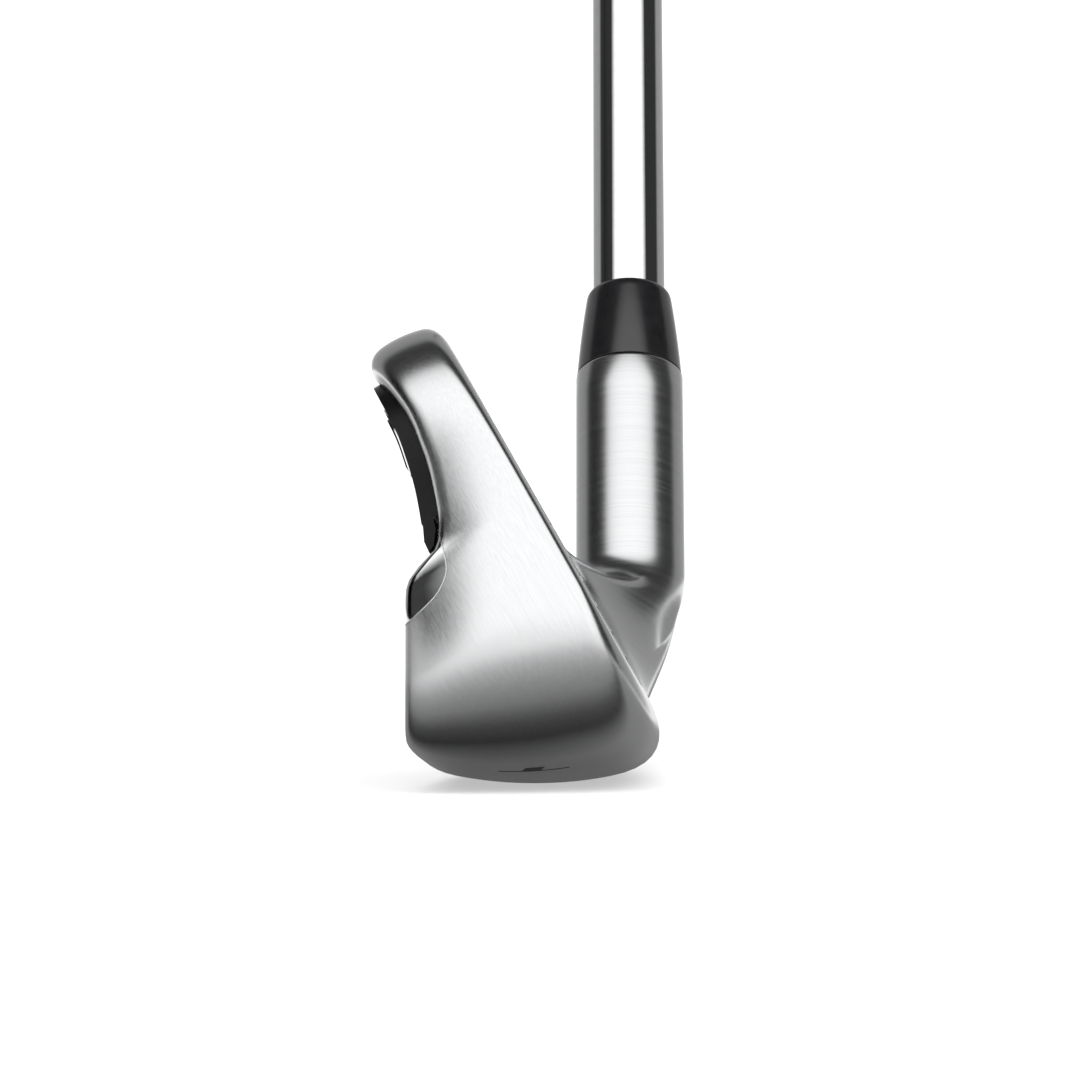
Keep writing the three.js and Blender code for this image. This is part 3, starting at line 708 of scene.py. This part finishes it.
def badge_carrier():
    """The black badge: a plate, a skirt along its foot, a raised panel and a seat for the bright line."""
    floor = TAPE_THICKNESS + 2 * TAPE_GAP - BADGE_DEPTH
    plate = back_layer("badge", floor, BADGE_PROUD, BADGE_INSET, BADGE_FOOT_W + FIT)
    skirt = back_prism("skirt", [
        (BADGE_FOOT_W + 1.2, 9.4), (BADGE_FOOT_W + 0.4, 9.6), (BADGE_FOOT_W + 0.4, 10.8), (40.2, 11.2),
        (38.7, 12.3), (38.3, 13.1), (39.6, 13), (41.6, 12.1), (BADGE_FOOT_W + 1.2, 11.8),
    ], *HEAD_SPAN)
    outline = inset_outline(BADGE_INSET[0], BADGE_INSET[1], BADGE_INSET[1], BADGE_HEEL_X)
    crossed(skirt, face_prism("outline", outline, *THROUGH))
    combine(plate, skirt, "UNION")
    panel_inset = tuple(value + INLAY_WIDTH + PANEL_GAP for value in INLAY_INSET)
    panel_foot = INLAY_FOOT_W + INLAY_WIDTH + PANEL_GAP
    panel_top = BADGE_PROUD + PANEL_PROUD
    panel = back_layer("panel", BADGE_PROUD - 0.5, panel_top, panel_inset, panel_foot)
    combine(plate, panel, "UNION")
    seat_floor = BADGE_PROUD - INLAY_THICKNESS - TAPE_GAP
    return smooth(cut(plate, inlay_band("inlay_seat", TAPE_GAP, seat_floor, SEAT_TOP)))


def badge_inlay():
    low, high = BADGE_PROUD - INLAY_THICKNESS, BADGE_PROUD + INLAY_PROUD
    return smooth(inlay_band("inlay", 0, low, high))


def muscle_plate(blank):
    """The polished plate, a seam's width clear of its seat and flush with the head."""
    region = muscle_region("muscle", -SEAM, MUSCLE_HEEL_X)
    return smooth(crossed(region, copy_of(blank, "crossing")))


def muscle_seam_highlight(blank):
    """A pale metal strip filling the seam between the muscle plate and the head: a painted highlight
    standing in for the light a bevelled seam would catch.
    """
    band = bed_band("seam", -SEAM_GAP, -SEAM + SEAM_GAP, MUSCLE_HEEL_X, HEAD_SPAN[1])
    return smooth(crossed(band, copy_of(blank, "crossing")))


def head_body(blank):
    """The head with its pockets, seats, hollow and shaft bore cut into it."""
    plate_inset = [inset - FIT / 3 for inset in PLATE_INSET]
    plate_outline = inset_outline(*plate_inset, PLATE_HEEL_X - 0.1)
    seat_inset = tuple(value - FIT for value in BADGE_INSET)
    bond_heel_x = MUSCLE_HEEL_X - FIT
    bore = [(0.01, BORE_FOOT), (BORE_RADIUS, BORE_FOOT), (BORE_RADIUS, BORE_TOP), (0.01, BORE_TOP)]
    return smooth(cut(
        blank,
        face_prism("pocket", plate_outline, -1, PLATE_THICKNESS + FIT),
        hollow(),
        window(),
        back_layer("seat", -BADGE_DEPTH, SEAT_TOP, seat_inset, BADGE_FOOT_W),
        face_prism("weight_pocket", disc(*WEIGHT_PLACE, WEIGHT_RADIUS), *WEIGHT_DEPTHS),
        muscle_region("plate_seat", 0.03, MUSCLE_HEEL_X - 0.1),
        bed_band("bond_seat", 0, BOND_DEPTH, bond_heel_x, BOND_TOE_X, trim=BOND_TRIM),
        turned("bore", bore),
    ))


def ferrule():
    """The tapering black collar, slightly barrelled, with a rounded top edge."""
    foot = FERRULE_FOOT + FERRULE_EDGE
    profile = [(FERRULE_BORE, FERRULE_FOOT), (FERRULE_RADII[0] - FERRULE_EDGE, FERRULE_FOOT)]
    profile.append((FERRULE_RADII[0], foot))
    for i in range(1, FERRULE_STEPS + 1):
        t = i / FERRULE_STEPS
        bulge = FERRULE_BULGE * 4 * t * (1 - t)
        profile.append((lerp(*FERRULE_RADII, t) + bulge, lerp(foot, FERRULE_TOP - 0.8, t)))
    for radius, below in ((5.52, 0.45), (5.4, 0.2), (5.28, 0.05), (5.15, 0), (FERRULE_BORE, 0)):
        profile.append((radius, FERRULE_TOP - below))
    return smooth(turned("ferrule_turned", profile, 128))


def shaft():
    """The steel tube, a little fatter after each step."""
    rise = (SHAFT_BUTT_RADIUS - SHAFT_TIP_RADIUS) / STEP_COUNT
    outer = [(SHAFT_TIP_RADIUS, SHAFT_START)]
    for i in range(STEP_COUNT):
        along = STEP_START + i * STEP_LENGTH
        radius = SHAFT_TIP_RADIUS + i * rise
        for k in range(STEP_RAMP_RINGS + 1):
            t = k / STEP_RAMP_RINGS
            outer.append((radius + rise * smoothstep(t), along + STEP_RAMP * t))
    outer.append((SHAFT_BUTT_RADIUS, SHAFT_END))
    inner = [(radius - SHAFT_WALL, along) for radius, along in outer[::-1]]
    return smooth(turned("shaft_tube", outer + inner, 128), 40)


def grip_pattern(along):
    """How deep the crossed grooves are round the grip, 0 to 1; plain rings part four bands of them."""
    share = (along - GRIP_START) / (GRIP_TOP - GRIP_START)
    banded = min(max(6 * abs(math.sin(4 * math.pi * share)) - 0.9, 0), 1)
    climb = math.pi * (along / GRIP_RIB_PITCH)
    turn = GRIP_RIB_TURNS * circle_angles(GRIP_SEGMENTS)
    crossing = np.maximum(np.cos(climb + turn), np.cos(climb - turn))
    return banded * np.clip((crossing - 0.8) / 0.2, 0, 1)


def grip_sleeve():
    """The grip, a tapered sleeve with grooves sunk into its surface."""
    around = circle_directions(GRIP_SEGMENTS)

    def ring(radii, along):
        return SHAFT_FOOT + SHAFT_AXIS * along + np.resize(radii, (GRIP_SEGMENTS, 1)) * around

    loops = [ring(GRIP_CORE, GRIP_START), ring(GRIP_MOUTH_RADIUS, GRIP_START)]
    for along in np.arange(GRIP_START + 1, GRIP_TOP - 0.4, GRIP_RING_STEP):
        radius = np.interp(along, GRIP_ALONG, GRIP_RADII)
        loops.append(ring(radius - GRIP_RIB_DEPTH * grip_pattern(along), along))
    loops += [ring(GRIP_END_RADIUS, GRIP_TOP), ring(GRIP_CORE, GRIP_TOP)]
    return smooth(skin("grip", loops + loops[:1], cap_end=False), 50)


def grip_cap():
    """The rounded butt cap with a shallow dish round its vent hole."""
    foot = GRIP_TOP + FIT
    profile = [(CAP_VENT_RADIUS, foot), (CAP_RADIUS - 0.2, foot), (CAP_RADIUS, foot + 0.2)]
    for i in range(CAP_STEPS + 1):
        angle = math.pi / 2 * i / CAP_STEPS
        below = CAP_ROUNDING - CAP_ROUNDING * math.sin(angle)
        profile.append((CAP_RADIUS - 2 + 2 * math.cos(angle), CLUB_LENGTH - below))
    for radius, below in ((4.2, 0), (3.9, 0.3), (1.7, 0.3), (CAP_VENT_RADIUS, 0.5)):
        profile.append((radius, CLUB_LENGTH - below))
    return smooth(turned("cap", profile), 40)


# --- Materials ------------------------------------------------------------------------------
NOISE_RANGE = (0.3, 0.7)                     # most of a noise texture lies between these
BLADE_TURN = (LOFT, 0, 0)                    # local Z runs up the face
SHAFT_TURN = (0, LIE - math.pi / 2, 0)       # local Z runs up the shaft


class Look:
    """A material with one Principled shader and short helpers for its texture nodes."""

    def __init__(self, name, metallic=0.0, roughness=0.5, coat=0.0):
        self.material = bpy.data.materials.new(name)
        self.material.use_nodes = True
        self.tree = self.material.node_tree
        self.shader = self.tree.nodes["Principled BSDF"]
        self.set("Metallic", metallic)
        self.set("Roughness", roughness)
        self.set("Coat Weight", coat)
        self.coordinates = self.tree.nodes.new("ShaderNodeTexCoord").outputs["Object"]

    def set(self, socket, value):
        self.shader.inputs[socket].default_value = value

    def link(self, output, socket):
        self.tree.links.new(output, self.shader.inputs[socket])

    def noise(self, scale, stretch=(1, 1, 1), turn=(0, 0, 0)):
        """Noise over the object's own metres, stretched along turned axes."""
        mapping = self.tree.nodes.new("ShaderNodeMapping")
        mapping.vector_type = "TEXTURE"
        mapping.inputs["Rotation"].default_value = turn
        mapping.inputs["Scale"].default_value = stretch
        texture = self.tree.nodes.new("ShaderNodeTexNoise")
        texture.inputs["Scale"].default_value = scale
        texture.inputs["Detail"].default_value = 3.0
        self.tree.links.new(self.coordinates, mapping.inputs["Vector"])
        self.tree.links.new(mapping.outputs["Vector"], texture.inputs["Vector"])
        return texture.outputs["Fac"]

    def spread(self, fac, low, high):
        """Noise stretched to run between two values."""
        node = self.tree.nodes.new("ShaderNodeMapRange")
        node.inputs["From Min"].default_value = NOISE_RANGE[0]
        node.inputs["From Max"].default_value = NOISE_RANGE[1]
        node.inputs["To Min"].default_value = low
        node.inputs["To Max"].default_value = high
        self.tree.links.new(fac, node.inputs["Value"])
        return node.outputs["Result"]

    def colours(self, fac, dark, light):
        ramp = self.tree.nodes.new("ShaderNodeValToRGB")
        stops = zip(ramp.color_ramp.elements, NOISE_RANGE, (dark, light))
        for element, position, colour in stops:
            element.position = position
            element.color = (*colour, 1)
        self.tree.links.new(fac, ramp.inputs["Fac"])
        self.link(ramp.outputs["Color"], "Base Color")

    def bump(self, fac, strength, distance):
        node = self.tree.nodes.new("ShaderNodeBump")
        node.inputs["Strength"].default_value = strength
        node.inputs["Distance"].default_value = distance * MM
        self.tree.links.new(fac, node.inputs["Height"])
        self.link(node.outputs["Normal"], "Normal")

    def mixed(self, fac, a, b):
        node = self.tree.nodes.new("ShaderNodeMix")
        for output, socket in ((fac, 0), (a, 2), (b, 3)):
            self.tree.links.new(output, node.inputs[socket])
        return node.outputs[0]

    def along_x(self, from_x, to_x):
        """0 at one x and 1 at another, in millimetres."""
        split = self.tree.nodes.new("ShaderNodeSeparateXYZ")
        self.tree.links.new(self.coordinates, split.inputs["Vector"])
        node = self.tree.nodes.new("ShaderNodeMapRange")
        node.inputs["From Min"].default_value = from_x * MM
        node.inputs["From Max"].default_value = to_x * MM
        self.tree.links.new(split.outputs["X"], node.inputs["Value"])
        return node.outputs["Result"]


def satin_steel():
    """Brushed steel: grain up the blade, turning to run round the hosel at the heel."""
    look = Look("satin_brushed_steel", metallic=1, roughness=0.26)
    blade = look.noise(5200, (1, 1, 90), BLADE_TURN)
    hosel = look.noise(4200, (120, 120, 1), SHAFT_TURN)
    brushing = look.mixed(look.along_x(-24, -33), blade, hosel)
    look.colours(brushing, (0.58, 0.585, 0.59), (0.64, 0.645, 0.65))
    look.link(look.spread(brushing, 0.2, 0.25), "Roughness")
    look.bump(brushing, 0.07, 0.02)
    return look.material


def steel(name, dark, light, roughness, bump=0.0):
    look = Look(name, metallic=1, roughness=roughness)
    grains = look.noise(900)
    look.colours(grains, dark, light)
    if bump:
        look.bump(grains, bump, 0.02)
    return look.material


def face_steel():
    look = Look("blasted_steel", metallic=1, roughness=0.42)
    grains = look.noise(3500)
    look.colours(grains, (0.45, 0.455, 0.46), (0.58, 0.585, 0.59))
    look.bump(grains, 0.35, 0.02)
    return look.material


def plastic(name, dark, light, roughness, coat=0.0, specular=0.5, grain=700, bump=0.0):
    look = Look(name, roughness=roughness, coat=coat)
    look.set("Coat Roughness", 0.03)
    look.set("Specular IOR Level", specular)
    grains = look.noise(grain)
    look.colours(grains, dark, light)
    if bump:
        look.bump(grains, bump, 0.05)
    return look.material


def give(obj, material):
    """Puts one material on every slot of an object."""
    if not obj.data.materials:
        obj.data.materials.append(material)
        return
    for slot in obj.material_slots:
        slot.link = "OBJECT"
        slot.material = material


def piece(obj, name, material, slot, *nodes):
    obj.name = name
    obj.data.materials.clear()
    obj.data.materials.append(material)
    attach(obj, "root")
    if nodes:
        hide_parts(*nodes)
    return obj


# --- Building -------------------------------------------------------------------------------
blank = skin("blank", head_loops())
plate = muscle_plate(blank)
edge = muscle_seam_highlight(blank)
mark = sole_mark(blank)
head = head_body(blank)

CHROME = steel("mirror_chrome", (0.72, 0.73, 0.74), (0.78, 0.785, 0.79), 0.05)
POLISHED = steel("mirror_steel", (0.66, 0.665, 0.67), (0.72, 0.725, 0.73), 0.035)
# Paler, rougher steel than the head or the plate, for the seam strip: a painted highlight
SEAM_HIGHLIGHT_STEEL = steel("painted_seam_highlight", (0.8, 0.8, 0.8), (0.9, 0.9, 0.9), 0.4)
GLOSS_BLACK = plastic("gloss_black", (0.006, 0.006, 0.007), (0.01, 0.01, 0.011), 0.2, coat=0.6)
BADGE_BLACK = plastic("badge_black", (0.004, 0.004, 0.004), (0.006, 0.006, 0.006), 0.25, specular=0.15)
MARK_PAINT = plastic("mark_paint", (0.004, 0.004, 0.004), (0.008, 0.008, 0.008), 0.4)
RUBBER = plastic("grip_rubber", (0.012, 0.012, 0.013), (0.03, 0.03, 0.031), 0.75, grain=1800, bump=0.3)

piece(head, "head", satin_steel(), "satin_steel", "head_body")
piece(mark, "sole_mark", MARK_PAINT, "badge_black")
piece(plate, "muscle_mirror", POLISHED, "polished_steel", "muscle_plate")
# The seam strip's pale steel is a painted highlight, not a finish of the head
piece(edge, "muscle_seam_highlight", SEAM_HIGHLIGHT_STEEL, "polished_steel")
piece(face_plate(), "struck_face", face_steel(), "face_steel", "face_plate")
piece(badge_carrier(), "badge", BADGE_BLACK, "badge_black", "badge_carrier")
piece(badge_inlay(), "badge_line", POLISHED, "polished_steel", "badge_inlay")
piece(ferrule(), "ferrule_ring", GLOSS_BLACK, "ferrule_black", "ferrule")
piece(shaft(), "shaft_chrome", CHROME, "shaft_chrome", "shaft")
piece(grip_sleeve(), "grip_moulding", RUBBER, "grip_rubber", "grip_sleeve")
piece(grip_cap(), "grip_end", RUBBER, "cap_rubber", "grip_cap")

EPOXY = plastic("cured_epoxy", (0.36, 0.32, 0.22), (0.46, 0.42, 0.31), 0.45)
TUNGSTEN = steel("sintered_tungsten", (0.14, 0.14, 0.15), (0.2, 0.2, 0.21), 0.45, bump=0.2)
FOAM = plastic("foam_tape", (0.08, 0.08, 0.078), (0.13, 0.13, 0.125), 0.9, grain=2500, bump=0.5)
PAPER = plastic("paper_tape", (0.55, 0.5, 0.38), (0.66, 0.6, 0.47), 0.85, grain=1500, bump=0.2)
INNER = {
    "damping_insert": plastic("damping_polymer", (0.035, 0.04, 0.05), (0.05, 0.055, 0.065), 0.6),
    "toe_weight": TUNGSTEN,
    "badge_tape": FOAM,
    "muscle_bond": EPOXY,
    "hosel_bond": EPOXY,
    "tip_plug": steel("brass", (0.42, 0.3, 0.1), (0.55, 0.4, 0.15), 0.3),
    "grip_tape": PAPER,
}
for node, material in INNER.items():
    give(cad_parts[node], material)


# --- Studio ---------------------------------------------------------------------------------
CAMERA_PLACE = Vector((607.0, 6.2, 28.1)) * MM
CAMERA_AIM = Vector((0.0, 1.55, 28.1)) * MM
LENS = 171.7
SENSOR_WIDTH = 36

# Brightness of the room by degrees away from +X
FROM_FRONT = [
    (0, 1.6), (58, 1.6), (71, 1.3), (78, 0.04), (110, 0.04),
    (118, 0.34), (150, 0.42), (164, 0.7), (170, 1.3),
]
# A dark card beside the back of the head, by degrees from -X round through -Y
ROUND_SIDE = [(0, 1), (75, 1), (80, 0.04), (151, 0.04), (158, 0.25), (169, 1), (360, 1)]
# How far that card has faded away, by degrees above the horizon
CARD_FADE = [(0, 0), (18, 0), (36, 1), (90, 1)]
WORLD_STRENGTH = 1.0
SUN_STRENGTH = 3.0
SUN_ANGLE = math.radians(120)

FLOOR_HALF, FLOOR_Z = 3000, -0.01
# The grey card on the floor: (x, how pale it is there)
FLAG = [
    (-300, 0.2), (30, 0.2), (37, 0.02), (42, 0.05),
    (50, 0.18), (70, 0.3), (105, 0.5), (160, 0.95),
]
FLAG_HALF, FLAG_Z = 400, 0.02


def make_camera():
    data = bpy.data.cameras.new("camera")
    data.lens = LENS
    data.sensor_width = SENSOR_WIDTH
    data.clip_start, data.clip_end = 0.01, 50
    obj = bpy.data.objects.new("camera", data)
    obj.location = CAMERA_PLACE
    obj.rotation_mode = "QUATERNION"
    obj.rotation_quaternion = (CAMERA_AIM - CAMERA_PLACE).to_track_quat("-Z", "Y")
    bpy.context.scene.collection.objects.link(obj)
    bpy.context.scene.camera = obj


def make_world():
    """A ring of soft light: bright in front of the toe, dark bands at both sides, white behind."""
    world = bpy.data.worlds.new("studio")
    world.use_nodes = True
    bpy.context.scene.world = world
    tree = world.node_tree
    direction = tree.nodes.new("ShaderNodeTexCoord").outputs["Generated"]
    split = tree.nodes.new("ShaderNodeSeparateXYZ")
    tree.links.new(direction, split.inputs["Vector"])

    def maths(operation, *inputs):
        node = tree.nodes.new("ShaderNodeMath")
        node.operation = operation
        for socket, value in zip(node.inputs, inputs):
            if isinstance(value, float):
                socket.default_value = value
            else:
                tree.links.new(value, socket)
        return node.outputs["Value"]

    def ramp(fac, stops, full=180):
        node = tree.nodes.new("ShaderNodeValToRGB")
        elements = node.color_ramp.elements
        for i, (degrees, level) in enumerate(stops):
            element = elements[i] if i < 2 else elements.new(1.0)
            element.position = degrees / full
            element.color = (level, level, level, 1)
        tree.links.new(fac, node.inputs["Fac"])
        return node.outputs["Color"]

    def blend_colours(kind, factor, a, b):
        mix = tree.nodes.new("ShaderNodeMix")
        mix.data_type = "RGBA"
        mix.blend_type = kind
        for socket, value in ((mix.inputs[0], factor), (mix.inputs[6], a), (mix.inputs[7], b)):
            if isinstance(value, (float, tuple)):
                socket.default_value = value
            else:
                tree.links.new(value, socket)
        return mix.outputs[2]

    from_front = ramp(maths("DIVIDE", maths("ARCCOSINE", split.outputs["X"]), math.pi), FROM_FRONT)
    azimuth = maths("ARCTAN2", split.outputs["Y"], split.outputs["X"])
    round_side = ramp(maths("DIVIDE", maths("ADD", azimuth, math.pi), 2 * math.pi), ROUND_SIDE, 360)
    height = maths("DIVIDE", maths("ARCSINE", split.outputs["Z"]), math.pi / 2)
    card_fade = ramp(height, CARD_FADE, 90)
    side = blend_colours("MIX", card_fade, round_side, (1, 1, 1, 1))
    level = blend_colours("MULTIPLY", 1.0, from_front, side)
    background = tree.nodes["Background"]
    background.inputs["Strength"].default_value = WORLD_STRENGTH
    tree.links.new(level, background.inputs["Color"])


def make_floor():
    half = FLOOR_HALF
    outline = [(-half, -half), (half, -half), (half, half), (-half, half)]
    floor = mesh_object("floor", [(x, y, FLOOR_Z) for x, y in outline], [(0, 1, 2, 3)])
    look = Look("pale_floor", roughness=0.9)
    look.colours(look.noise(3.0), (0.86, 0.86, 0.86), (0.88, 0.88, 0.88))
    floor.data.materials.append(look.material)


def make_sun():
    """Soft light from above that whitens the floor and leaves no highlight."""
    data = bpy.data.lights.new("sky", "SUN")
    data.energy = SUN_STRENGTH
    data.angle = SUN_ANGLE
    data.use_shadow = False
    sun = bpy.data.objects.new("sky", data)
    sun.visible_glossy = False
    bpy.context.scene.collection.objects.link(sun)


def make_flag():
    """A card on the floor, darkest under the toe and paler before it, seen only in the metal."""
    points, levels = [], []
    for x, level in FLAG:
        points += [(x, -FLAG_HALF, FLAG_Z), (x, FLAG_HALF, FLAG_Z)]
        levels += [level, level]
    faces = [(i, i + 2, i + 3, i + 1) for i in range(0, len(points) - 2, 2)]
    flag = mesh_object("flag", points, faces)
    shades = flag.data.color_attributes.new("shade", "FLOAT_COLOR", "POINT")
    for point, level in zip(shades.data, levels):
        point.color = (level, level, level, 1)
    look = Look("grey_card", roughness=0.9)
    shade = look.tree.nodes.new("ShaderNodeVertexColor")
    shade.layer_name = "shade"
    look.link(shade.outputs["Color"], "Base Color")
    flag.data.materials.append(look.material)
    flag.visible_camera = False
    flag.visible_diffuse = False
    flag.visible_shadow = False


make_camera()
make_world()
make_floor()
make_flag()
make_sun()
bpy.context.scene.view_settings.view_transform = "Standard"
